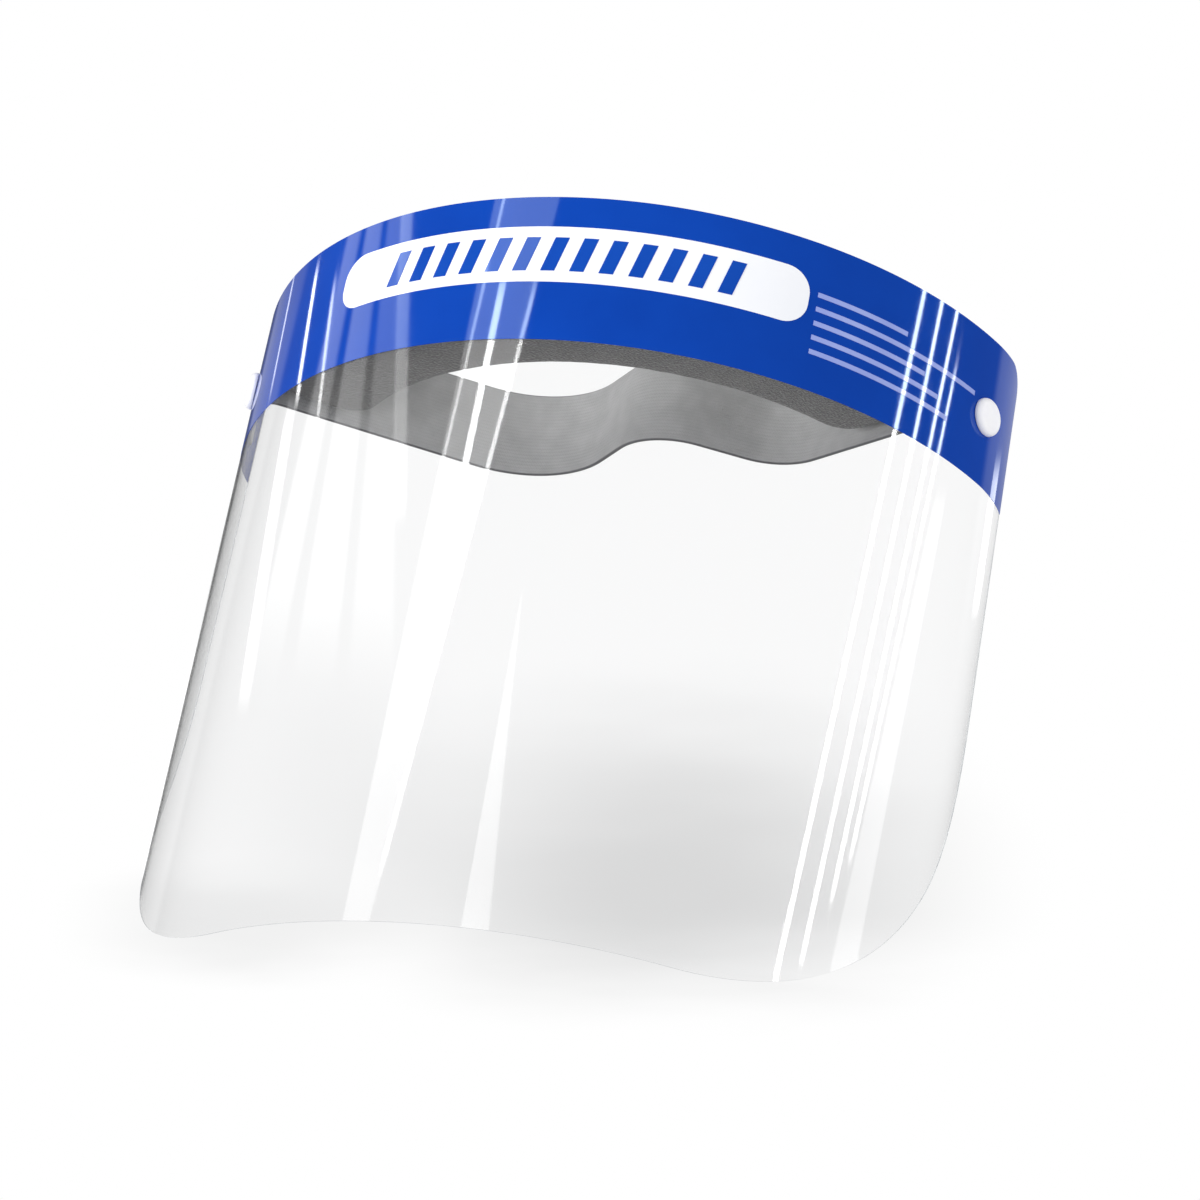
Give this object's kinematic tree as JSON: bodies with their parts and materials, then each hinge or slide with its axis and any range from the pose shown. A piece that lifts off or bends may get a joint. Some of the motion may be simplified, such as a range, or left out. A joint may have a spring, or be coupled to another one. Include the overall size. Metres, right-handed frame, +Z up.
{
  "type": "face shield",
  "caption": "Disposable face shield: a bent clear sheet with a coloured header band, a foam brow pad and a flat elastic strap riveted at both sides.",
  "frame": {"origin": "middle of the foam pad's inner face, where the forehead touches it", "axes": "+X across the face towards the notice lines' side, +Y from the face towards the back of the head, +Z up along the sheet"},
  "size_m": [0.2302, 0.0949, 0.22],
  "materials": {
    "clear_film": "clear polyester film, very glossy",
    "header_ink": "glossy printed blue",
    "panel_ink": "glossy printed white",
    "mark_ink": "glossy printed blue",
    "notice_ink": "glossy printed pale blue",
    "tape": "thin double-sided tape",
    "foam": "open-cell polyurethane foam",
    "elastic": "knitted elastic webbing",
    "rivet": "moulded white nylon"
  },
  "bodies": {
    "visor": {"visor_sheet": "clear_film", "header_print": "header_ink", "title_panel": "panel_ink", "title_marks": "mark_ink", "notice_lines": "notice_ink", "foam_tape": "tape", "forehead_foam": "foam", "rivet_head_left": "rivet", "rivet_head_right": "rivet", "rivet_back_left": "rivet", "rivet_back_right": "rivet", "strap_end_left": "elastic", "strap_end_right": "elastic"},
    "strap": {"strap_arm_left": "elastic", "strap_arm_right": "elastic"},
    "strap_loop": {"strap_back": "elastic"}
  },
  "joints": [
    {"name": "strap_swing", "type": "hinge", "parent": "visor", "child": "strap", "pos_m": [0, 0.0287, -0.004], "axis": [1, 0, 0], "range_deg": [-18, 18], "stiffness_Nm_per_rad": 0.02},
    {"name": "strap_stretch", "type": "slide", "parent": "strap", "child": "strap_loop", "axis": [0, 1, 0], "range_m": [0, 0.12], "stiffness_N_per_m": 25, "deforming": ["strap_arm_left", "strap_arm_right"]}
  ]
}
